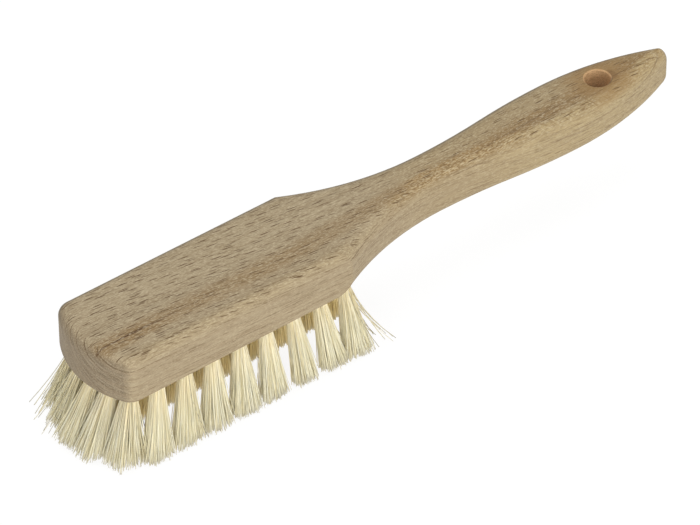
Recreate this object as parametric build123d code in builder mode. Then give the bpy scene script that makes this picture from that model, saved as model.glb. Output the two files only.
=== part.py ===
from build123d import *
import os
from math import acos, cos, degrees, radians, sin, tan

# A scrub brush: a one-piece beech body with a head and a hand grip, and stapled tufts of plant fibre.
# It stands on its bristle tips. +Z is up, +X runs along the grip to its point, and the origin lies in the
# standing plane under the middle of the brush.

# Body, in millimetres
body_length = 280.0
head_length = 109.0
head_width = 46.0
board_thickness = 19.6
front_bow = 7.3
front_corner_radius = 6.0
head_top_rounding = 4.9
head_under_rounding = 2.0

# Grip: a waist behind the shoulders, a belly for the palm, then two long arcs that meet in a small nose
neck_width = 19.9
neck_from_shoulder = 54.0
belly_width = 27.3
belly_from_shoulder = 118.0
nose_radius = 3.4
grip_rounding = 6.4

# Hang hole near the point
hang_hole_diameter = 10.4
hang_hole_from_point = 34.0
hang_hole_bevel = 0.6

# Tuft holes, staples and the fit between them
tuft_hole_diameter = 5.4
tuft_hole_depth = 12.0
tuft_clearance = 0.05
staple_wire = 1.0
staple_width = 4.4
staple_length = 6.0
fold_height = 2.0
overrun = 5.0

# Where the tufts stand
row_offset = 18.0
row_pitch = 12.2
row_start = 21.9
fan_inset = 7.0

# Bristles: how long, how far each bundle opens and how thick a strand is
bristle_height = 32.0
tip_spread = 9.6
root_spread = 3.7
strand_radius = 0.5
strand_seat = 1.2
flat_cut = 0.5
tip_raggedness = 1.2
strand_sides = 3
strand_ring_counts = (1, 4, 6)
bundle_sides = 8

# Leans, in degrees, and the share of them that each tuft takes, front to back or near to far
side_lean = 8.5
along_lean = 9.0
fan_forward_lean = 14.0
fan_side_lean = 13.5
row_lean_shares = (-0.86, -0.52, -0.24, 0.0, 0.25, 0.7, 1.0, 0.8)
middle_lean_shares = (-0.9, -0.7, -0.4, -0.1, 0.2, 0.5, 0.7, 0.9, 0.9)
fan_place_shares = (-0.9, -0.45, 0.0, 0.45, 0.9)
fan_forward_shares = (0.42, 0.94, 1.0, 0.74, 0.45)
fan_side_shares = (0.0, 0.4, 0.68, 0.88, 1.0)

# Sizes that follow from those above
half_head = head_width / 2
half_neck = neck_width / 2
half_belly = belly_width / 2
grip_length = body_length - head_length
fan_reach = bristle_height * tan(radians(fan_forward_lean)) + tip_spread / 2 + strand_radius - fan_inset
front_x = (fan_reach - body_length) / 2
shoulder_x = front_x + head_length
hole_radius = tuft_hole_diameter / 2
under_face = Plane.XY.offset(bristle_height)
os.makedirs("parts", exist_ok=True)

# Points of the grip's far edge. The point arc leaves the belly level and touches the nose circle from
# outside, which gives its radius.
shoulder_point = Vector(shoulder_x, half_head)
neck_point = Vector(shoulder_x + neck_from_shoulder, half_neck)
belly_point = Vector(shoulder_x + belly_from_shoulder, half_belly)
belly_to_nose = grip_length - belly_from_shoulder - nose_radius
point_arc_radius = (belly_to_nose**2 + half_belly**2 - nose_radius**2) / (2 * (half_belly - nose_radius))
nose_x = belly_point.X + belly_to_nose
nose_turn = acos(belly_to_nose / (point_arc_radius - nose_radius))


# Tufts: the mouth of each hole, as a plane whose normal runs up the hole, and how far its tips lie from it.
# Rows are drilled square to the board and open by themselves. The fan is drilled along its lean.
def lean_run(lean_along, lean_across):
    """How far the tips of a tuft lie from its root, for its leans in degrees."""
    return Vector(tan(radians(lean_along)), tan(radians(lean_across)), 0) * bristle_height


tufts = {}
for number, share in enumerate(row_lean_shares, 1):
    along = front_x + row_start + (number - 1) * row_pitch
    near_mouth = Plane((along, -row_offset, bristle_height))
    far_mouth = Plane((along, row_offset, bristle_height))
    tufts[f"tuft_near_{number}"] = near_mouth, lean_run(along_lean * share, -side_lean)
    tufts[f"tuft_far_{number}"] = far_mouth, lean_run(along_lean * share, side_lean)
for number, share in enumerate(middle_lean_shares, 1):
    along = front_x + row_start + (number - 1.5) * row_pitch
    mouth = Plane((along, 0, bristle_height))
    tufts[f"tuft_middle_{number}"] = mouth, lean_run(along_lean * share, 0)
for number, place in enumerate(fan_place_shares):
    across = place * row_offset
    along = front_x + fan_inset + front_bow * (across / half_head) ** 2
    run = lean_run(-fan_forward_lean * fan_forward_shares[number], fan_side_lean * fan_side_shares[number])
    up_the_hole = Vector(0, 0, bristle_height) - run
    mouth = Plane((along, across, bristle_height), (up_the_hole.Z, 0, -up_the_hole.X), up_the_hole)
    tufts[f"tuft_fan_{number + 1}"] = mouth, run


# Staples: a U of flat wire whose crown holds the doubled fibre and whose legs go on into the wood
def staple_profile(plane, grown):
    """The staple's outline, grown on every side, on the plane through its two legs."""
    crown = tuft_hole_depth - fold_height - staple_wire
    between_legs = staple_width - 2 * staple_wire - 2 * grown
    upward = (Align.CENTER, Align.MIN)
    with BuildSketch(plane) as outline:
        with Locations((0, crown - grown)):
            Rectangle(staple_width + 2 * grown, staple_length + 2 * grown, align=upward)
        with Locations((0, crown + staple_wire + grown)):
            Rectangle(between_legs, staple_length, align=upward, mode=Mode.SUBTRACT)
    return outline.sketch


def staple_solid(mouth, grown=0):
    """One staple, or the room that it needs, upright in its hole and across the brush."""
    across = Plane(mouth.origin, mouth.y_dir, mouth.x_dir)
    return extrude(staple_profile(across, grown), staple_wire / 2 + grown, both=True)


def leg_slot(mouth):
    """The slot that a staple's legs open in the wood beyond the end of the hole."""
    end = tuft_hole_depth - fold_height - staple_wire + staple_length + tuft_clearance
    with BuildSketch(mouth.offset(tuft_hole_depth)) as outline:
        Rectangle(staple_wire + 2 * tuft_clearance, staple_width + 2 * tuft_clearance)
    return extrude(outline.sketch, end - tuft_hole_depth)


staples = {name: staple_solid(mouth) for name, (mouth, run) in tufts.items()}
staple_rooms = {name: staple_solid(mouth, tuft_clearance) for name, (mouth, run) in tufts.items()}

# Hang hole: a bore with a bevelled rim at both ends
hang_hole_x = front_x + body_length - hang_hole_from_point
hang_hole_plane = Plane((hang_hole_x, 0, bristle_height), (1, 0, 0), (0, -1, 0))
bore_radius = hang_hole_diameter / 2
rim_radius = bore_radius + hang_hole_bevel

# One long edge of the grip, as it is routed: everything on the wood's side of it stays
with BuildPart() as grip_edge:
    with BuildSketch(under_face):
        with BuildLine():
            waist = TangentArc(neck_point, shoulder_point, tangent=(-1, 0))
            lead = Line(shoulder_point, shoulder_point + (waist % 1) * half_head)
            TangentArc(neck_point, (neck_point + belly_point) / 2, tangent=(1, 0))
            TangentArc(belly_point, (neck_point + belly_point) / 2, tangent=(-1, 0))
            sweep_angle = degrees(acos(1 - belly_width / point_arc_radius))
            point_arc = JernArc(belly_point, (1, 0), point_arc_radius, -sweep_angle)
            past_nose = (point_arc @ 1).X
            past_front = front_x - overrun
            Polyline(
                lead @ 1,
                (past_front, (lead @ 1).Y),
                (past_front, -head_width),
                (past_nose, -head_width),
                point_arc @ 1,
            )
        make_face()
    extrude(amount=board_thickness)
    level_arcs = grip_edge.edges().filter_by(GeomType.CIRCLE)
    fillet(level_arcs, grip_rounding)
near_grip_edge = mirror(grip_edge.part, about=Plane.XZ)

# What the rounded nose takes off: a wedge from its centre, less a dome of the same rounding
with BuildPart() as nose_waste:
    with BuildSketch(under_face):
        with BuildLine():
            reach = Vector(cos(nose_turn), sin(nose_turn)) * grip_length / 2
            nose_point = Vector(nose_x, 0)
            Polyline(nose_point, nose_point + reach, nose_point + Vector(reach.X, -reach.Y), close=True)
        make_face()
    extrude(amount=board_thickness)
    with BuildSketch(Plane((nose_x, 0, bristle_height), (1, 0, 0), (0, -1, 0))):
        with BuildLine():
            dome_turn = degrees(acos((grip_rounding - nose_radius) / grip_rounding))
            inset = nose_radius - grip_rounding
            upper = CenterArc((inset, board_thickness - grip_rounding), grip_rounding, 0, dome_turn)
            lower = CenterArc((inset, grip_rounding), grip_rounding, -dome_turn, dome_turn)
            Line(lower @ 1, upper @ 0)
            Line(upper @ 1, lower @ 0)
        make_face()
    revolve(axis=Axis((nose_x, 0, 0), (0, 0, 1)), mode=Mode.SUBTRACT)

# Body: the board with its bowed front, less what the two routed grip edges and the nose take off
with BuildPart() as handle_block:
    with BuildSketch(under_face):
        with BuildLine():
            bow = ThreePointArc(
                (front_x + front_bow, -half_head), (front_x, 0), (front_x + front_bow, half_head)
            )
            Polyline(bow @ 1, (past_nose, half_head), (past_nose, -half_head), bow @ 0)
        make_face()
    extrude(amount=board_thickness)
    fillet(handle_block.edges().filter_by(Axis.Z).group_by(Axis.X)[0], front_corner_radius)
    end_edges = handle_block.edges().group_by(Axis.X)[-1]
    fillet(handle_block.faces().sort_by(Axis.Z)[-1].edges() - end_edges, head_top_rounding)
    fillet(handle_block.faces().sort_by(Axis.Z)[0].edges() - end_edges, head_under_rounding)
    add(grip_edge.part, mode=Mode.INTERSECT)
    add(near_grip_edge, mode=Mode.INTERSECT)
    add(nose_waste.part, mode=Mode.SUBTRACT)
    with BuildSketch(hang_hole_plane):
        with BuildLine():
            Polyline(
                (0, -overrun),
                (rim_radius, -overrun),
                (rim_radius, 0),
                (bore_radius, hang_hole_bevel),
                (bore_radius, board_thickness - hang_hole_bevel),
                (rim_radius, board_thickness),
                (rim_radius, board_thickness + overrun),
                (0, board_thickness + overrun),
                close=True,
            )
        make_face()
    revolve(axis=Axis(hang_hole_plane.origin, (0, 0, 1)), mode=Mode.SUBTRACT)
    for mouth, run in tufts.values():
        with BuildSketch(mouth.offset(-overrun)):
            Circle(hole_radius)
        extrude(amount=tuft_hole_depth + overrun, mode=Mode.SUBTRACT)
    add([leg_slot(mouth) for mouth, run in tufts.values()], mode=Mode.SUBTRACT)
handle_block.part.label = "handle_block"
export_step(handle_block.part, "parts/handle_block.step")

with BuildPart() as tuft_staples:
    add(list(staples.values()))
tuft_staples.part.label = "tuft_staples"
export_step(tuft_staples.part, "parts/tuft_staples.step")


# Bristles: strands open from rings in the root to wider rings at the tips, so that none cross
def strands_of(mouth, run):
    """The strands of one tuft, each a straight three-sided stick with level ends."""
    strands = []
    outer = len(strand_ring_counts) - 1
    seat = mouth.z_dir * (strand_seat / mouth.z_dir.Z)
    for ring, count in enumerate(strand_ring_counts):
        for place in range(count):
            turn = 360 * (place + ring / 2) / count
            way = Vector(ring / outer / 2, 0, 0).rotate(Axis.Z, turn)
            lift = tip_raggedness * ((place * 0.382 + ring * 0.618) % 1) - flat_cut
            reach = 1 - lift / bristle_height
            root = mouth.origin + seat + way * root_spread
            tip = mouth.origin + (run - Vector(0, 0, bristle_height)) * reach
            tip += way * (root_spread + (tip_spread - root_spread) * reach)
            section = Plane(root) * RegularPolygon(strand_radius, strand_sides, rotation=turn)
            strands.append(extrude(section, (tip - root).length, tip - root))
    return strands


for name, (mouth, run) in tufts.items():
    strands = strands_of(mouth, run)
    with BuildPart() as tuft:
        with BuildSketch(mouth.offset(-overrun)):
            RegularPolygon(hole_radius - tuft_clearance, bundle_sides)
        extrude(amount=overrun + tuft_hole_depth - tuft_clearance)
        split(bisect_by=under_face, keep=Keep.TOP)
        add(staple_rooms[name], mode=Mode.SUBTRACT)
        add(strands)
        split(bisect_by=Plane.XY, keep=Keep.TOP)
    tuft.part.label = name
    export_step(tuft.part, f"parts/{name}.step")
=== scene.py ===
"""Looks of a scrub brush: one piece of untreated beech with thirty tufts of pale plant fibre stapled into it.

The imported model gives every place. The beech body and the staples keep their CAD meshes and get a finish here.
Each tuft's CAD node is replaced by a fuller bundle of single fibres on the same axis. Lengths are in metres, x runs
from the front end of the head to the point of the grip, y from the near side to the far side, and z up.
"""

import math

import bpy
import numpy as np
from mathutils import Matrix, Vector


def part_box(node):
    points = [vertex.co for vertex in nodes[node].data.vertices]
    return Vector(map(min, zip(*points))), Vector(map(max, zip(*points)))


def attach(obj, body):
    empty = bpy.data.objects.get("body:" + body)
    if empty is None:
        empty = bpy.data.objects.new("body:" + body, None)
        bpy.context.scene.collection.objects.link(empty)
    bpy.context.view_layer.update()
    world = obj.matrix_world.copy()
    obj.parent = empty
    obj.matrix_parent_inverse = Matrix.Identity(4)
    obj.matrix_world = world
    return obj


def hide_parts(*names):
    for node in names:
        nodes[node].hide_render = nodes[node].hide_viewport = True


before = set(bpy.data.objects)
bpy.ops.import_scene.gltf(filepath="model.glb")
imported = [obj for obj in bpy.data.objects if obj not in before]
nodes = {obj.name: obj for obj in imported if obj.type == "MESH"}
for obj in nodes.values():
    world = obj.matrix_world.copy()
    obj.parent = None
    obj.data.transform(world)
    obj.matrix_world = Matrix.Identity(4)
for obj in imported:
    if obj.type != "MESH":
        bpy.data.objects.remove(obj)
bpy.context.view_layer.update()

MM = 0.001
block_low, block_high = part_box("handle_block")
PLATE = block_low.z  # height of the underside of the wood, where the fibres come out
TOP = block_high.z  # height of the top face of the wood
HANG = block_high.x - 34 * MM  # where the hang hole stands along the brush


# Camera: the long view from the front left, above the brush

AZIMUTH = math.radians(37.644)
ELEVATION = math.radians(40.75)
ROLL = math.radians(-0.436)
DISTANCE = 2.1225
LENS = 291.3  # millimetres, on a sensor 36 mm wide
AIM = np.array([-0.018271, -0.008747, PLATE])


def make_camera():
    """A camera that looks at AIM from DISTANCE away, turned by azimuth, tipped by elevation and rolled a little."""
    ahead = np.array(
        [
            math.sin(AZIMUTH) * math.cos(ELEVATION),
            math.cos(AZIMUTH) * math.cos(ELEVATION),
            -math.sin(ELEVATION),
        ]
    )
    level = np.array([math.cos(AZIMUTH), -math.sin(AZIMUTH), 0.0])
    upright = np.cross(level, ahead)
    across = math.cos(ROLL) * level + math.sin(ROLL) * upright
    above = -math.sin(ROLL) * level + math.cos(ROLL) * upright
    data = bpy.data.cameras.new("camera")
    data.sensor_width = 36
    data.lens = LENS
    data.clip_start = 0.1
    data.clip_end = 20
    camera = bpy.data.objects.new("camera", data)
    turn = np.column_stack([across, above, -ahead])
    camera.matrix_world = Matrix.Translation(Vector(AIM - ahead * DISTANCE)) @ Matrix(turn.tolist()).to_4x4()
    bpy.context.scene.collection.objects.link(camera)
    bpy.context.scene.camera = camera


# Shader building


def tint(red, green, blue):
    """The linear colour of a screen colour given as 0 to 255: a straight foot, then a power of 2.4."""
    share = np.array([red, green, blue]) / 255
    linear = np.where(share <= 0.04045, share / 12.92, ((share + 0.055) / 1.055) ** 2.4)
    return (*linear.tolist(), 1.0)


class Value:
    """A socket's output. Each operator adds the Math node for it, so a formula reads as it is written."""

    def __init__(self, net, socket):
        self.net = net
        self.socket = socket

    def maths(self, operation, *terms):
        return self.net.node("ShaderNodeMath", {"operation": operation}, dict(enumerate(terms)))

    def __add__(self, other):
        return self.maths("ADD", self, other)

    def __radd__(self, other):
        return self.maths("ADD", other, self)

    def __sub__(self, other):
        return self.maths("SUBTRACT", self, other)

    def __rsub__(self, other):
        return self.maths("SUBTRACT", other, self)

    def __mul__(self, other):
        return self.maths("MULTIPLY", self, other)

    def __rmul__(self, other):
        return self.maths("MULTIPLY", other, self)

    def __truediv__(self, other):
        return self.maths("DIVIDE", self, other)

    def __pow__(self, other):
        return self.maths("POWER", self, other)

    def __abs__(self):
        return self.maths("ABSOLUTE", self)

    def fraction(self):
        return self.maths("FRACT", self)

    def larger(self, other):
        return self.maths("MAXIMUM", self, other)

    def ramp(self, low, high, start=0.0, end=1.0):
        """Smooth change from start at low to end at high. Low may be the greater of the two."""
        return self.net.node(
            "ShaderNodeMapRange",
            {"interpolation_type": "SMOOTHSTEP"},
            {"Value": self, "From Min": low, "From Max": high, "To Min": start, "To Max": end},
        )


class Net:
    """The node tree of one material or of the world, with short ways to add to it."""

    def __init__(self, owner):
        self.owner = owner
        owner.use_nodes = True
        self.tree = owner.node_tree
        self.tree.nodes.clear()

    def node(self, kind, settings=None, inputs=None, output=0):
        """Adds a node: settings first, then each socket's value or link. Returns one output as a Value."""
        made = self.tree.nodes.new(kind)
        for key, value in (settings or {}).items():
            setattr(made, key, value)
        for key, value in (inputs or {}).items():
            if isinstance(value, Value):
                self.tree.links.new(value.socket, made.inputs[key])
            else:
                made.inputs[key].default_value = value
        return Value(self, made.outputs[output]) if made.outputs else None

    def coordinates(self, kind):
        """Object gives a point's place, Normal the way it faces."""
        return self.node("ShaderNodeTexCoord", output=kind)

    def attribute(self, name):
        return self.node("ShaderNodeAttribute", {"attribute_name": name}, output="Fac")

    def parts(self, vector):
        """The x, y and z of a vector."""
        split = self.node("ShaderNodeSeparateXYZ", inputs={0: vector})
        return [Value(self, socket) for socket in split.socket.node.outputs]

    def join(self, x, y, z):
        return self.node("ShaderNodeCombineXYZ", inputs={0: x, 1: y, 2: z})

    def stretched(self, vector, cell, shift=(0, 0, 0)):
        """A vector in which one unit is a cell of the given length, width and height in metres."""
        scale = tuple(1 / side for side in cell)
        return self.node("ShaderNodeMapping", inputs={"Vector": vector, "Location": shift, "Scale": scale})

    def noise(self, vector, detail=2.0, roughness=0.5):
        settings = {"noise_dimensions": "3D"}
        inputs = {"Vector": vector, "Scale": 1.0, "Detail": detail, "Roughness": roughness}
        return self.node("ShaderNodeTexNoise", settings, inputs, "Fac")

    def grain(self, vector, cell, detail=2.0, roughness=0.5):
        """Noise in cells of the given length, width and height in metres."""
        return self.noise(self.stretched(vector, cell), detail, roughness)

    def spots(self, vector):
        """Scattered points, one a cell of x and y: the distance to the nearest, and its own chance from 0 to 1."""
        settings = {"feature": "F1", "voronoi_dimensions": "2D"}
        inputs = {"Vector": vector, "Scale": 1.0, "Randomness": 0.75}
        distance = self.node("ShaderNodeTexVoronoi", settings, inputs)
        colour = Value(self, distance.socket.node.outputs["Color"])
        return distance, self.parts(colour)[0]

    def coats(self, ground, rows):
        """A screen colour with others laid over it in turn. A row is a share from 0 to 1 and the screen colour."""
        colour = tint(*ground)
        for share, tone in rows:
            inputs = {0: share, 6: colour, 7: tint(*tone)}
            colour = self.node("ShaderNodeMix", {"data_type": "RGBA"}, inputs, 2)
        return colour

    def bump(self, height, depth, strength):
        return self.node("ShaderNodeBump", inputs={"Height": height, "Distance": depth, "Strength": strength})

    def finish(self, **sockets):
        """Ends the tree in one Principled shader with these sockets set or linked."""
        inputs = {key.replace("_", " "): value for key, value in sockets.items()}
        shader = self.node("ShaderNodeBsdfPrincipled", inputs=inputs)
        self.node("ShaderNodeOutputMaterial", inputs={"Surface": shader})
        return self.owner


# The beech

HEAD_HALF = 23 * MM  # half the head's width
# Where the near edge leaves that width: from and to along the brush, and the change from one to the other
WAIST = (-32 * MM, 22 * MM, 0.0, 13 * MM)
BELLY = (34 * MM, 86 * MM, 0.0, 3.7 * MM)
POINT = (100 * MM, 146 * MM, 0.0, 10.2 * MM)

GRAIN_TURN = (-140 * MM, 30 * MM, 0.0, 15 * MM)  # from and to along the brush, and how far the grain runs across
GRAIN_CLIMB = 0.05  # how far the grain sinks on the sides for each unit along the brush

YEAR_DEPTH = 3.65 * MM  # wood between two growth lines
BOWL_LINE = 22 * MM  # how far from the middle, on the near side, the growth layers lie lowest
BOWL_RISE = 15.2  # how steeply they rise from there

# Ray flecks: the length and width of their cells, the strength of the faintest dash, and the layer's weight
TOP_FLECKS = ((16.0 * MM, 1.45 * MM, 0.5, 1.2), (12.5 * MM, 1.30 * MM, 0.25, 0.8))
SIDE_FLECKS = ((15.0 * MM, 1.00 * MM, 0.1, 0.8), (8.0 * MM, 0.70 * MM, 0.0, 0.7))
FLECK_EDGE = (0.17, 0.09)  # where a dash starts to show and where it is full, in cells from its middle
FLECK_SLIDE = 4.0  # how far the cells slide along the brush for each unit across it
FLECK_SHIFT = (3.7, 5.3)  # what sets one layer's cells apart from the next one's


def near_edge(x):
    """How far the near edge lies from the middle line: the head, less the waist, plus the belly, less the point."""
    return HEAD_HALF - x.ramp(*WAIST) + x.ramp(*BELLY) - x.ramp(*POINT)


class Board:
    """A point of the beech: its place, the way it faces, and the noises that several features share."""

    def __init__(self, net):
        self.net = net
        place = net.coordinates("Object")
        x, y, z = self.x, self.y, self.z = net.parts(place)
        self.nx, self.ny, self.nz = net.parts(net.coordinates("Normal"))
        self.flat = abs(self.nz).ramp(0.5, 0.9)
        self.side = 1.0 - self.flat
        self.upper = self.nz.ramp(0.3, 0.7)
        self.cut_end = abs(self.nx).ramp(0.4, 0.95)
        self.front = x.ramp(-98 * MM, -118 * MM)
        self.inset = y + near_edge(x)

        # the grain: a little across the board, a little downhill on the sides, and slowly wavy
        self.drift = (net.grain(place, (90 * MM, 30 * MM, 30 * MM), 1.0) - 0.5) * (3 * MM)
        self.lay = y + x.ramp(*GRAIN_TURN) + self.drift
        self.rise = z + x * GRAIN_CLIMB + self.drift * 0.6
        self.along = net.join(x, self.lay, z + self.drift * 0.6)
        self.side_along = net.join(x, y * 0.3, self.rise)

        self.fine = net.grain(self.along, (12 * MM, 0.5 * MM, 0.5 * MM), 3.0, 0.7)
        self.broad = net.grain(self.along, (120 * MM, 4 * MM, 6 * MM))
        self.cloud = net.grain(place, (50 * MM, 20 * MM, 20 * MM))
        self.ragged = net.grain(self.along, (6 * MM, 1.1 * MM, 2 * MM), 2.0, 0.6) - 0.5


def growth_layers(board):
    """Growth layers as shallow bowls, which show most where the front end is rounded over.

    A layer's number is the height from the top face, less BOWL_RISE times the square of the way from the bowls'
    lowest line, over YEAR_DEPTH. Its fraction is the wood's age within the year: the soft wood darkens slowly
    through the year, and the late wood is the thin dark line that ends it.
    """
    hollow = board.y + BOWL_LINE + board.drift * 0.3
    layer = (board.z - TOP - hollow * hollow * BOWL_RISE + board.drift * 0.2) / YEAR_DEPTH
    age = layer.fraction()
    soft = age.ramp(0.2, 0.95) * age.ramp(1.0, 0.97)
    late = age.ramp(0.86, 0.97) * age.ramp(1.0, 0.985)
    return layer, soft, late


def flecks(net, x, across, layers):
    """Short thin dashes along x, one in the middle of each cell of a scattered pattern.

    The cells are slid along x by FLECK_SLIDE times their way across, so that neighbouring dashes stand in steps and
    not in piles. The layers are added up, each by its weight.
    """
    total = 0.0
    for number, (length, width, faintest, weight) in enumerate(layers):
        shift = (FLECK_SHIFT[0] * number, FLECK_SHIFT[1] * number, 0.0)
        slid = net.join(x + across * FLECK_SLIDE, across, 0.0)
        distance, chance = net.spots(net.stretched(slid, (length, width, 1.0), shift))
        total = distance.ramp(*FLECK_EDGE) * chance.ramp(0.1, 0.9, faintest, 1.0) * weight + total
    return total


def ray_flecks(board):
    """The dashes of the rays: larger on the flat faces, where the grip's are fainter, and finer on the sides."""
    net, x = board.net, board.x
    tremble = (net.grain(board.along, (4 * MM, 3 * MM, 3 * MM), 1.0) - 0.5) * (0.35 * MM)
    dense = net.grain(board.along, (20 * MM, 6 * MM, 10 * MM), 1.0).ramp(0.3, 0.6, 0.8, 1.0)
    fainter = x.ramp(-40 * MM, 40 * MM, 1.0, 0.7)
    on_top = flecks(net, x, board.lay + tremble, TOP_FLECKS) * board.flat * dense * fainter
    on_side = flecks(net, x, board.rise + tremble, SIDE_FLECKS) * board.side * (1.0 - board.cut_end * 0.7)
    return on_top, on_side


def red_streak(board):
    """The redder streak down the middle of the top face, and the dark thread in it, boldest at the front end.

    Both fade with the distance from a line that starts 9.2 mm to the near side of the head's middle, comes in to
    6.4 mm at the waist and comes in by 2.6 mm more along the grip.
    """
    x, fine, broad = board.x, board.fine, board.broad
    middle = board.y + x.ramp(-50 * MM, 10 * MM, 9.2 * MM, 6.4 * MM) - x.ramp(10 * MM, 100 * MM, 0.0, 2.6 * MM)
    middle = middle + board.drift
    streak = (abs(middle) + board.ragged * (5 * MM)).ramp(6.5 * MM, 1.5 * MM) * board.upper
    streak = streak * board.cloud.ramp(0.3, 0.6, 0.6, 1.0) * fine.ramp(0.3, 0.6, 0.6, 1.0)
    thread = abs(middle + (broad - 0.5) * (1.5 * MM) - 0.3 * MM).ramp(0.7 * MM, 0.2 * MM) * board.upper
    return streak, thread * (broad.ramp(0.4, 0.65) * 0.5 + board.front)


def near_band(board):
    """What follows the near edge on the top face, by the distance from it.

    The edge is painted highlight, a paler line where the wood is rounded over; the ticks are short marks across it
    near the point, and the amber patch lies between the waist's edge and the streak.
    """
    net, x, y, inset, ragged = board.net, board.x, board.y, board.inset, board.ragged
    # painted highlight: a paler band where the near edge is rounded over
    edge = (inset + ragged * (4 * MM)).ramp(6.5 * MM, 4.0 * MM) * board.nz.ramp(0.25, 0.6)
    edge = edge * board.cloud.ramp(0.35, 0.6, 0.6, 1.0)
    tick = net.grain(net.join(x + y * 0.7, y, board.z), (0.9 * MM, 5 * MM, 20 * MM)).ramp(0.5, 0.6)
    tick = tick * x.ramp(62 * MM, 78 * MM) * x.ramp(118 * MM, 104 * MM)
    tick = tick * abs(inset - 4 * MM).ramp(2.2 * MM, 0.8 * MM) * board.upper
    amber = x.ramp(-5 * MM, 20 * MM) * x.ramp(75 * MM, 50 * MM) * board.upper
    amber = amber * (inset + ragged * (3 * MM)).ramp(1.0 * MM, 3.0 * MM)
    amber = amber * (inset + ragged * (4 * MM)).ramp(8.5 * MM, 5.5 * MM)
    return edge, tick, amber


def hang_hole(board):
    """The browner wood round the hang hole, the painted shade on its rim and its wall, by distance from their
    middles.
    """
    x, y = board.x - HANG, board.y
    distance = (x * x + y * y) ** 0.5
    halo = distance.ramp(20 * MM, 6 * MM) * board.cloud.ramp(0.3, 0.6, 0.4, 1.0) * board.upper
    # painted shade: a darker spot on the rim towards the point, where the rim is countersunk
    rim_shade_x, rim_shade_y = x - 5 * MM, y + 1.5 * MM
    rim_shade = ((rim_shade_x * rim_shade_x + rim_shade_y * rim_shade_y) ** 0.5 + board.ragged * MM).ramp(3.4 * MM, 2.2 * MM)
    return halo, rim_shade, distance.ramp(5.8 * MM, 5.3 * MM)


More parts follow.
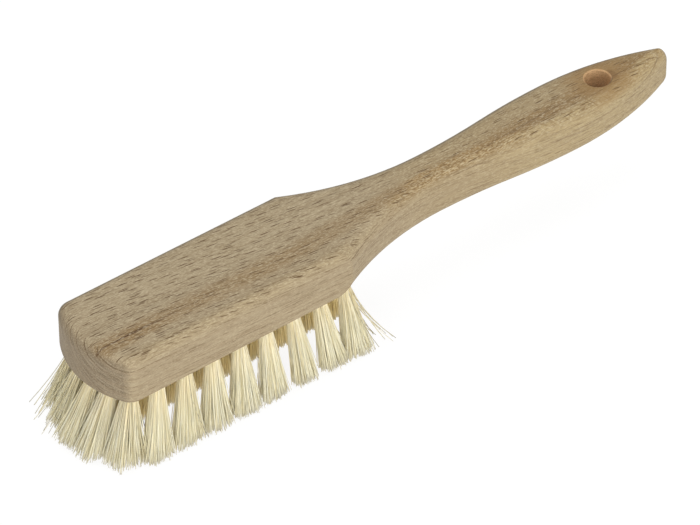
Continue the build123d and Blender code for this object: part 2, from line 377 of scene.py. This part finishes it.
def beech():
    """Planed and sanded beech: a pale ground, and over it, coat by coat, its figure and some painted highlight and
    shade.
    """
    net = Net(bpy.data.materials.new("planed_beech"))
    board = Board(net)
    x, y, nz, fine = board.x, board.y, board.nz, board.fine
    flat, side, upper, cut_end = board.flat, board.side, board.upper, board.cut_end
    layer, soft, late = growth_layers(board)
    streak, thread = red_streak(board)
    edge, tick, amber = near_band(board)
    halo, rim_shade, wall = hang_hole(board)
    fleck, side_fleck = ray_flecks(board)

    year = net.noise(net.join(layer * 5.0, y * 12.0, x * 12.0), 3.0, 0.65)
    end_marks = net.noise(net.join(layer * 4.0, y * 110.0, x * 110.0), 3.0, 0.75)
    fine_side = net.grain(board.side_along, (18 * MM, 0.6 * MM, 0.5 * MM), 3.0, 0.7)
    mottle = net.grain(board.along, (2.4 * MM, 0.6 * MM, 0.6 * MM), 2.0, 0.6)
    pores = net.grain(board.along, (1.3 * MM, 0.4 * MM, 0.4 * MM), 1.0)

    # growth lines show where the wood is cut slantwise: round the front end, and half as much at the waist
    slant = nz.ramp(-0.05, 0.3) + x.ramp(-60 * MM, -30 * MM) * x.ramp(60 * MM, 30 * MM) * 0.5
    turning = abs(board.nx).ramp(0.12, 0.45) * slant.ramp(0.0, 1.0)
    near_corner = x.ramp(-119 * MM, -131 * MM) * y.ramp(-13 * MM, -19 * MM)
    # painted shade: the rounding of the far edge is made darker
    far_rim_shade = board.ny.ramp(0.3, 0.5) * board.ny.ramp(0.9, 0.7) * nz.ramp(0.0, 0.4)

    colour = net.coats(
        (160, 144, 116),
        (
            # the board's own tones, warmer towards the grip and brown at its point
            (board.broad.ramp(0.3, 0.7), (170, 154, 125)),
            (year.ramp(0.4, 0.7) * 0.25, (150, 130, 98)),
            (x.ramp(-10 * MM, 30 * MM) * 0.45, (160, 138, 96)),
            (x.ramp(95 * MM, 125 * MM) * upper * 0.95, (144, 118, 77)),
            (near_corner * 0.5, (178, 162, 132)),
            # the streak, the amber patch and the painted highlight, a paler line along the near edge
            (streak * (0.7 + board.front * 0.25 + x.ramp(30 * MM, 70 * MM) * 0.2), (136, 109, 70)),
            (amber * 0.7, (168, 139, 92)),
            (edge * 0.4, (160, 141, 105)),
            (edge * x.ramp(40 * MM, 80 * MM) * 0.3, (190, 166, 116)),
            (edge * fine.ramp(0.5, 0.36) * 0.5, (200, 183, 144)),
            # the sides: greyer at the head, lighter at the grip
            (side * x.ramp(30 * MM, 80 * MM, 0.35, 0.0), (156, 139, 110)),
            (side * x.ramp(30 * MM, 70 * MM) * 0.5, (176, 157, 118)),
            # the front end, where the grain is cut across, with fine upright marks
            (cut_end * 0.65, (126, 112, 92)),
            (end_marks.ramp(0.48, 0.6) * cut_end * 0.5, (86, 72, 54)),
            (end_marks.ramp(0.44, 0.36) * cut_end * 0.3, (176, 164, 140)),
            # growth layers and the thread
            (soft * 0.14, (136, 110, 76)),
            (late * (0.12 + turning * 0.7), (84, 62, 38)),
            (thread * 0.85, (84, 58, 34)),
            # grain lines, mottle, pores and ticks
            (fine.ramp(0.48, 0.68) * flat * 0.5, (120, 100, 70)),
            (fine_side.ramp(0.48, 0.68) * side * (1.0 - cut_end * 0.6) * 0.85, (124, 104, 76)),
            (mottle.ramp(0.48, 0.7) * (0.25 + flat * 0.25), (118, 98, 68)),
            (pores.ramp(0.48, 0.7) * (0.3 + flat * 0.2), (200, 185, 154)),
            (pores.ramp(0.48, 0.36) * amber * 0.6, (110, 82, 50)),
            (tick * 0.45, (122, 94, 58)),
            # the hang hole: round it, the painted shade on its rim, its wall with open pores, and painted shade deep
            # down in it
            (halo * 0.75, (144, 114, 72)),
            (rim_shade * 0.65, (122, 92, 58)),
            (wall * 0.8, (216, 176, 130)),
            (pores.ramp(0.54, 0.44) * wall * 0.4, (150, 116, 76)),
            # painted shade: the wall darkens with depth below the top face
            ((TOP - board.z).ramp(7 * MM, 10 * MM) * wall * 0.5, (90, 62, 38)),
            # ray flecks, and painted shade on the rounding of the far edge
            (fleck.ramp(0.0, 1.0) * 0.95, (86, 62, 36)),
            (side_fleck.ramp(0.0, 1.0) * 0.6, (104, 80, 50)),
            (far_rim_shade * 0.6, (90, 80, 62)),
        ),
    )
    return net.finish(
        Base_Color=colour,
        Roughness=fine.ramp(0.3, 0.7, 0.55, 0.7),
        Normal=net.bump(fine * 0.5 - fleck * 0.6 + board.cloud * 0.2, 0.12 * MM, 0.5),
        Specular_IOR_Level=0.25,
    )


# The fibre and the steel


def plant_fibre():
    """Pale stiff plant fibre: each has its own tone, it is browner near the wood and greyer at its cut tip.

    Tone, reach and inner are the attributes that a tuft's mesh carries; inner is painted shade, which turns the
    fibres golden where they face into the brush, and a tone below 0 is painted shade on fibres that go astray.
    """
    net = Net(bpy.data.materials.new("pale_plant_fibre"))
    tone, reach, painted_shade = (net.attribute(name) for name in ("tone", "reach", "painted_shade"))
    grain = net.grain(net.coordinates("Object"), (0.6 * MM, 0.6 * MM, 6 * MM))
    colour = net.coats(
        (238, 228, 190),
        (
            (tone.ramp(0.0, 0.5), (244, 237, 204)),
            (tone.ramp(0.5, 1.0), (249, 245, 222)),
            # painted shade: inner makes the fibres golden where they face into the brush, and browner near the wood
            (painted_shade * 0.7, (248, 220, 140)),
            (reach.ramp(0.6, 0.0) * (0.15 + painted_shade * 0.6), (248, 202, 106)),
            (grain.ramp(0.45, 0.75) * 0.25, (224, 206, 158)),
            (reach.ramp(0.93, 1.0) * 0.5, (182, 174, 156)),
            # painted shade: fibres that go astray are darker
            (tone.ramp(0.0, -1.0) * 0.75, (140, 132, 112)),
        ),
    )
    return net.finish(
        Base_Color=colour,
        Roughness=grain.ramp(0.2, 0.8, 0.42, 0.6),
        Normal=net.bump(grain, 0.05 * MM, 0.4),
        Specular_IOR_Level=0.35,
    )


def staple_steel():
    """Drawn steel wire with fine marks round it."""
    net = Net(bpy.data.materials.new("drawn_steel_wire"))
    marks = net.grain(net.coordinates("Object"), (0.2 * MM, 2 * MM, 0.2 * MM))
    return net.finish(
        Base_Color=net.coats((150, 150, 152), ((marks, (190, 190, 190)),)),
        Metallic=1.0,
        Roughness=marks.ramp(0.2, 0.8, 0.25, 0.45),
        Normal=net.bump(marks, 0.02 * MM, 0.3),
    )


# Tufts

FIBRES = 560  # in a tuft
STATIONS = 6  # points of a fibre's line below the wood
SIDES = 3  # corners round a fibre
GOLDEN_TURN = math.pi * (3 - math.sqrt(5))
FIRST_SEED = 100  # of the first tuft by name

HOLE_RADIUS = 2.55 * MM  # of a tuft where it leaves the wood
TIP_RADIUS = 5.8 * MM  # of the tips of a tuft that TIP_RADII doesn't name
ROW_FLATTENED = 0.52  # width of a row tuft's tips across the brush, as a share of their width along it
FAN_FLATTENED = 0.9  # the same for a tuft of the fan
OPENING = 0.95  # power of the share of its length by which a tuft opens
SQUARED = 0.7  # how far the tips' outline goes from a disc to a square, from 0 to 1
SUNK = 4 * MM  # how far the fibres go on into their hole
SUNK_WIDTH = 0.95  # their spread there, as a share of the hole's

FIBRE_RADIUS = (0.13, 0.2)  # thinnest and thickest, in millimetres
TAPER = 0.85  # radius at the tip, as a share of the radius at the root
SCATTER = 0.04  # how far fibres stand off their even places, as a share of the tuft's radius
CLUMPS = 17  # clumps of fibres in a tuft
CLUMP_DISC = 0.92  # share of the tuft's radius that holds the clumps' middles
GATHER = 0.3  # most that a fibre draws towards its clump's middle
BOW = 0.4 * MM  # usual bow of a fibre to one side
BOW_POWER = 1.6  # power of the share of its length by which the bow grows
SWIRL = 0.22 * MM  # usual sway half way down a fibre
WILD = 0.05  # share of the fibres that bow outwards
WILD_BOW = (0.5, 2.0)  # the least and most of that bow, in millimetres
WILD_WAY = (1.0, 0.4)  # its shares along and across the brush
TRIM = 1.0 * MM  # usual amount that a fibre falls short
CLUMP_TRIM = 1.4 * MM  # most that a clump falls short
LIFT = 0.25  # share of the height that a slanting fibre loses by which its tip really rises

# The radius of the tips of the tufts whose width the view shows
TIP_RADII = {
    "tuft_near_8": 6.3 * MM,
    "tuft_near_7": 5.8 * MM,
    "tuft_near_6": 5.2 * MM,
    "tuft_near_5": 5.8 * MM,
    "tuft_near_4": 6.3 * MM,
    "tuft_near_3": 6.7 * MM,
    "tuft_near_2": 6.7 * MM,
    "tuft_near_1": 6.3 * MM,
    "tuft_fan_1": 7.8 * MM,
    "tuft_fan_2": 6.9 * MM,
    "tuft_fan_3": 6.3 * MM,
    "tuft_fan_4": 6.2 * MM,
    "tuft_fan_5": 6.2 * MM,
}

# Painted shade, a golden tint on a row's fibres, most where they face into the brush: the slope along the brush,
# the slope across it, and the amount on every side
SHADED = {
    "near": (0.0, 0.8, -0.6),
    "far": (0.0, -0.8, 0.1),
    "middle": (0.0, 0.0, 0.5),
    "fan": (0.0, 0.0, -0.5),
}

# The tufts with fibres bent well out: how many, which way, and the least and most of the bow
ASTRAY = {
    "tuft_near_8": (16, (1.0, -0.1), (4 * MM, 13 * MM)),
    "tuft_fan_1": (14, (1.0, 0.1), (2 * MM, 5 * MM)),
    "tuft_fan_4": (16, (-1.0, 0.1), (1 * MM, 6 * MM)),
    "tuft_fan_5": (24, (-1.0, 0.15), (1 * MM, 7 * MM)),
    "tuft_near_7": (3, (1.0, 0.0), (3 * MM, 6 * MM)),
    "tuft_near_5": (3, (-1.0, 0.0), (3 * MM, 6 * MM)),
    "tuft_near_2": (3, (1.0, 0.0), (3 * MM, 7 * MM)),
}
NONE_ASTRAY = (0, (0.0, 0.0), (0.0, 0.0))


def sunflower(count):
    """Evenly spread points of the unit disc: radius the square root of a point's share, angle its golden turns."""
    order = np.arange(count)
    angle = order * GOLDEN_TURN
    return np.stack([np.cos(angle), np.sin(angle)], -1) * np.sqrt((order + 0.5) / count)[:, None]


def fibre_lines(chance, root, tip, tip_radius, flattened, astray):
    """The lines of a tuft's fibres, from their sunk ends to their tips, and each fibre's place in the hole.

    A fibre starts at a sunflower point of the hole. Its line follows the tuft's axis, and its distance from the axis
    grows from the hole's radius to the tips' with the power OPENING of the share of its length, more along the brush
    than across it. The tips' disc is drawn towards a square: a point goes out by a factor, its distance over its
    larger coordinate to the power SQUARED. Half way down, a fibre draws towards its clump's middle and sways.

    A bow that grows with the power BOW_POWER of the share keeps any two from being alike. It is longer for the wild
    fibres, and longest for the last ones, which go astray. Each tip is cut short by its own trim and its clump's, and
    rises by LIFT of the height that a fibre of the same length loses when it slants.
    """
    outward = sunflower(FIBRES) + chance.normal(0, SCATTER, (FIBRES, 2))
    corner = np.linalg.norm(outward, axis=1) / np.abs(outward).max(1)
    squared = outward * (corner**SQUARED - 1)[:, None]
    middles = sunflower(CLUMPS) * CLUMP_DISC
    nearest = np.linalg.norm(outward[:, None] - middles, axis=2).argmin(1)
    share = np.linspace(0, 1, STATIONS)[None, :, None]
    half_way = np.sin(share * math.pi)
    opened = np.array([tip_radius, tip_radius * flattened]) - HOLE_RADIUS
    spread = HOLE_RADIUS + opened * share**OPENING
    gather = (middles[nearest] - outward)[:, None] * chance.uniform(0.0, GATHER, (FIBRES, 1, 1)) * half_way
    gather = gather + squared[:, None] * share
    bow = chance.normal(0, BOW, (FIBRES, 2))
    wild = chance.random(FIBRES) < WILD
    bow[wild] += outward[wild] * chance.uniform(*WILD_BOW, (int(wild.sum()), 1)) * np.array(WILD_WAY) * MM
    count, way, (least, most) = astray
    bow[FIBRES - count :] += np.array(way) * chance.uniform(least, most, (count, 1))
    swirl = chance.normal(0, SWIRL, (FIBRES, 2))
    flat = (outward[:, None] + gather) * spread + bow[:, None] * share**BOW_POWER + swirl[:, None] * half_way
    trim = np.abs(chance.normal(0, TRIM, FIBRES)) + chance.uniform(0, CLUMP_TRIM, CLUMPS)[nearest]
    length = root[2] - tip[2]
    lean = (tip - root)[:2] / length
    travel = lean * length + (outward + squared) * opened + bow
    low = tip[2] + trim + (length - np.sqrt(length**2 - (travel**2).sum(1))) * LIFT
    drop = root[2] - low
    centre = root[:2] + lean * drop[:, None, None] * share
    height = root[2] - drop[:, None] * share[..., 0]
    below = np.concatenate([centre + flat, height[..., None]], -1)
    sunk = below[:, :1].copy()
    sunk[..., :2] = (root[:2] - lean * SUNK) + outward[:, None] * HOLE_RADIUS * SUNK_WIDTH
    sunk[..., 2] = root[2] + SUNK
    return np.concatenate([sunk, below], 1), outward


def skin(points, radii, start):
    """Tubes round many lines at once.

    Each ring's corners are its line point plus radius times (cosine of the corner's angle times one cross direction
    plus sine times the other). The cross directions are square to the line's own direction. Walls join ring to ring,
    and a triangle closes each end.
    """
    count, stations = points.shape[:2]
    way = np.gradient(points, axis=1)
    way /= np.linalg.norm(way, axis=2, keepdims=True)
    one = np.cross(way, np.array([0.0, 1.0, 0.0]))
    one /= np.linalg.norm(one, axis=2, keepdims=True)
    two = np.cross(way, one)
    angle = start[:, None] + np.arange(SIDES) * 2 * math.pi / SIDES
    cosine = np.cos(angle)[:, None, :, None]
    sine = np.sin(angle)[:, None, :, None]
    corners = points[:, :, None] + radii[:, :, None, None] * (cosine * one[:, :, None] + sine * two[:, :, None])
    index = np.arange(count * stations * SIDES).reshape(count, stations, SIDES)
    here, above = index[:, :-1], index[:, 1:]
    turned_here, turned_above = np.roll(here, -1, 2), np.roll(above, -1, 2)
    walls = np.concatenate(
        [
            np.stack([here, turned_here, turned_above], -1).reshape(-1, 3),
            np.stack([here, turned_above, above], -1).reshape(-1, 3),
            index[:, 0, ::-1],
            index[:, -1],
        ]
    )
    return corners.reshape(-1, 3), walls


def tuft(name, root, tip, seed, tip_radius, flattened, astray, painted_shade):
    """A bundle of fibres that leaves its hole close together, opens quickly and ends in ragged cut tips.

    Its finish reads three attributes: tone, a fibre's own from 0 to 1 and one less, as painted shade, where it is
    astray; reach, the share of its length; and inner, painted shade that makes it golden, a half plus inner's slopes
    times its place plus inner's amount.
    """
    chance = np.random.default_rng(seed)
    points, outward = fibre_lines(chance, root, tip, tip_radius, flattened, astray)
    thick = chance.uniform(*FIBRE_RADIUS, FIBRES)[:, None] * MM
    radii = thick * np.linspace(1.0, TAPER, STATIONS + 1)[None]
    corners, faces = skin(points, radii, chance.uniform(0, 2 * math.pi, FIBRES))
    mesh = bpy.data.meshes.new(name)
    mesh.from_pydata(corners.tolist(), [], faces.tolist())
    mesh.polygons.foreach_set("use_smooth", np.ones(len(faces), bool))
    tone = chance.random(FIBRES)
    # painted shade: fibres that go astray get a tone below 0, which their finish darkens
    tone[FIBRES - astray[0] :] -= 1.0
    reach = np.concatenate([[0], np.linspace(0, 1, STATIONS)])
    # painted shade: golden on the side of the tuft that faces into the brush
    golden = np.clip(0.5 + outward @ np.array(painted_shade[:2]) + painted_shade[2], 0, 1)
    each = (STATIONS + 1) * SIDES
    for label, values in (
        ("tone", np.repeat(tone, each)),
        ("reach", np.tile(np.repeat(reach, SIDES), FIBRES)),
        ("painted_shade", np.repeat(golden, each)),
    ):
        mesh.attributes.new(label, "FLOAT", "POINT").data.foreach_set("value", values.astype(np.float32))
    piece = bpy.data.objects.new(name, mesh)
    bpy.context.scene.collection.objects.link(piece)
    return piece


def axis_of(node):
    """Where a CAD tuft leaves the wood and where its tips' middle is, from its own vertices.

    The line runs from the middle of what stands over 0.2 mm inside the wood to the middle of its lowest 1.5 mm.
    """
    data = nodes[node].data
    co = np.empty(len(data.vertices) * 3)
    data.vertices.foreach_get("co", co)
    co = co.reshape(-1, 3)
    above = co[co[:, 2] > PLATE + 0.2 * MM]
    tips = co[co[:, 2] < co[:, 2].min() + 1.5 * MM]
    top = (above.min(0) + above.max(0)) / 2
    low = (tips.min(0) + tips.max(0)) / 2
    low[2] = 0.0
    root = low + (top - low) * (PLATE / top[2])
    return root, low


def dress_tufts(material):
    """Puts a bundle of fibres in place of each CAD tuft."""
    names = sorted(name for name in nodes if name.startswith("tuft_") and name != "tuft_staples")
    for number, name in enumerate(names):
        root, tip = axis_of(name)
        row = name.split("_")[1]
        flattened = FAN_FLATTENED if row == "fan" else ROW_FLATTENED
        shape = TIP_RADII.get(name, TIP_RADIUS), flattened, ASTRAY.get(name, NONE_ASTRAY)
        piece = tuft("fibres_" + name.removeprefix("tuft_"), root, tip, FIRST_SEED + number, *shape, SHADED[row])
        piece.data.materials.append(material)
        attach(piece, "root")
        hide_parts(name)


# Studio

WHITE = (1.0, 1.0, 1.0, 1.0)
ROOM_LIGHT = 0.65  # strength of the world as light on the brush
PAPER = (0.9, 0.9, 0.9, 1.0)
PAPER_GLOW = 1.05  # strength of the paper's own light
GLOW_SHARE = 0.85  # how much of the paper is its own light, so how faint the shadow is
FLOOR_HALF = 4.0  # half the floor's side
FLOOR_DROP = 0.2 * MM  # how far the floor lies below the tips
LAMP_AIM = (0, 0, 0.03)  # the point of the brush that every lamp faces

# Square lamps: name, place, side and power in watts
LAMPS = (
    ("key", (0.25, -1.5, 0.75), 1.0, 8.2),
    ("low", (-0.8, -1.15, 0.22), 0.7, 6.0),
    ("top", (-0.1, 0.1, 1.7), 1.2, 8.0),
    ("left", (-1.5, -0.3, 0.6), 1.0, 0.5),
)


def make_world():
    """A soft even light, which the camera and glossy surfaces see as plain white."""
    net = Net(bpy.data.worlds.new("studio"))
    straight = net.node("ShaderNodeLightPath", output="Is Camera Ray")
    mirrored = net.node("ShaderNodeLightPath", output="Is Glossy Ray")
    dim = net.node("ShaderNodeBackground", inputs={"Color": WHITE, "Strength": ROOM_LIGHT})
    white = net.node("ShaderNodeBackground", inputs={"Color": WHITE, "Strength": 1.0})
    both = net.node("ShaderNodeMixShader", inputs={0: straight.larger(mirrored), 1: dim, 2: white})
    net.node("ShaderNodeOutputWorld", inputs={"Surface": both})
    return net.owner


def white_paper():
    """Paper that is lit a little and glows white for the rest, so that it keeps a faint soft shadow."""
    net = Net(bpy.data.materials.new("white_paper"))
    lit = net.node("ShaderNodeBsdfDiffuse", inputs={"Color": PAPER})
    own = net.node("ShaderNodeEmission", inputs={"Color": WHITE, "Strength": PAPER_GLOW})
    shader = net.node("ShaderNodeMixShader", inputs={0: GLOW_SHARE, 1: lit, 2: own})
    net.node("ShaderNodeOutputMaterial", inputs={"Surface": shader})
    return net.owner


def make_studio():
    """A white floor that keeps a soft shadow, a white background and four large soft lamps."""
    scene = bpy.context.scene
    scene.view_settings.view_transform = "Standard"
    scene.world = make_world()

    half = FLOOR_HALF
    mesh = bpy.data.meshes.new("floor")
    mesh.from_pydata([(-half, -half, 0), (half, -half, 0), (half, half, 0), (-half, half, 0)], [], [(0, 1, 2, 3)])
    mesh.materials.append(white_paper())
    floor = bpy.data.objects.new("floor", mesh)
    floor.location.z = -FLOOR_DROP
    scene.collection.objects.link(floor)

    for name, place, side, power in LAMPS:
        data = bpy.data.lights.new(name, "AREA")
        data.shape = "SQUARE"
        data.size = side
        data.energy = power
        lamp = bpy.data.objects.new(name, data)
        lamp.location = place
        lamp.rotation_euler = (Vector(LAMP_AIM) - Vector(place)).to_track_quat("-Z", "Y").to_euler()
        scene.collection.objects.link(lamp)


make_camera()
nodes["handle_block"].data.materials[0] = beech()
nodes["tuft_staples"].data.materials[0] = staple_steel()
dress_tufts(plant_fibre())
make_studio()
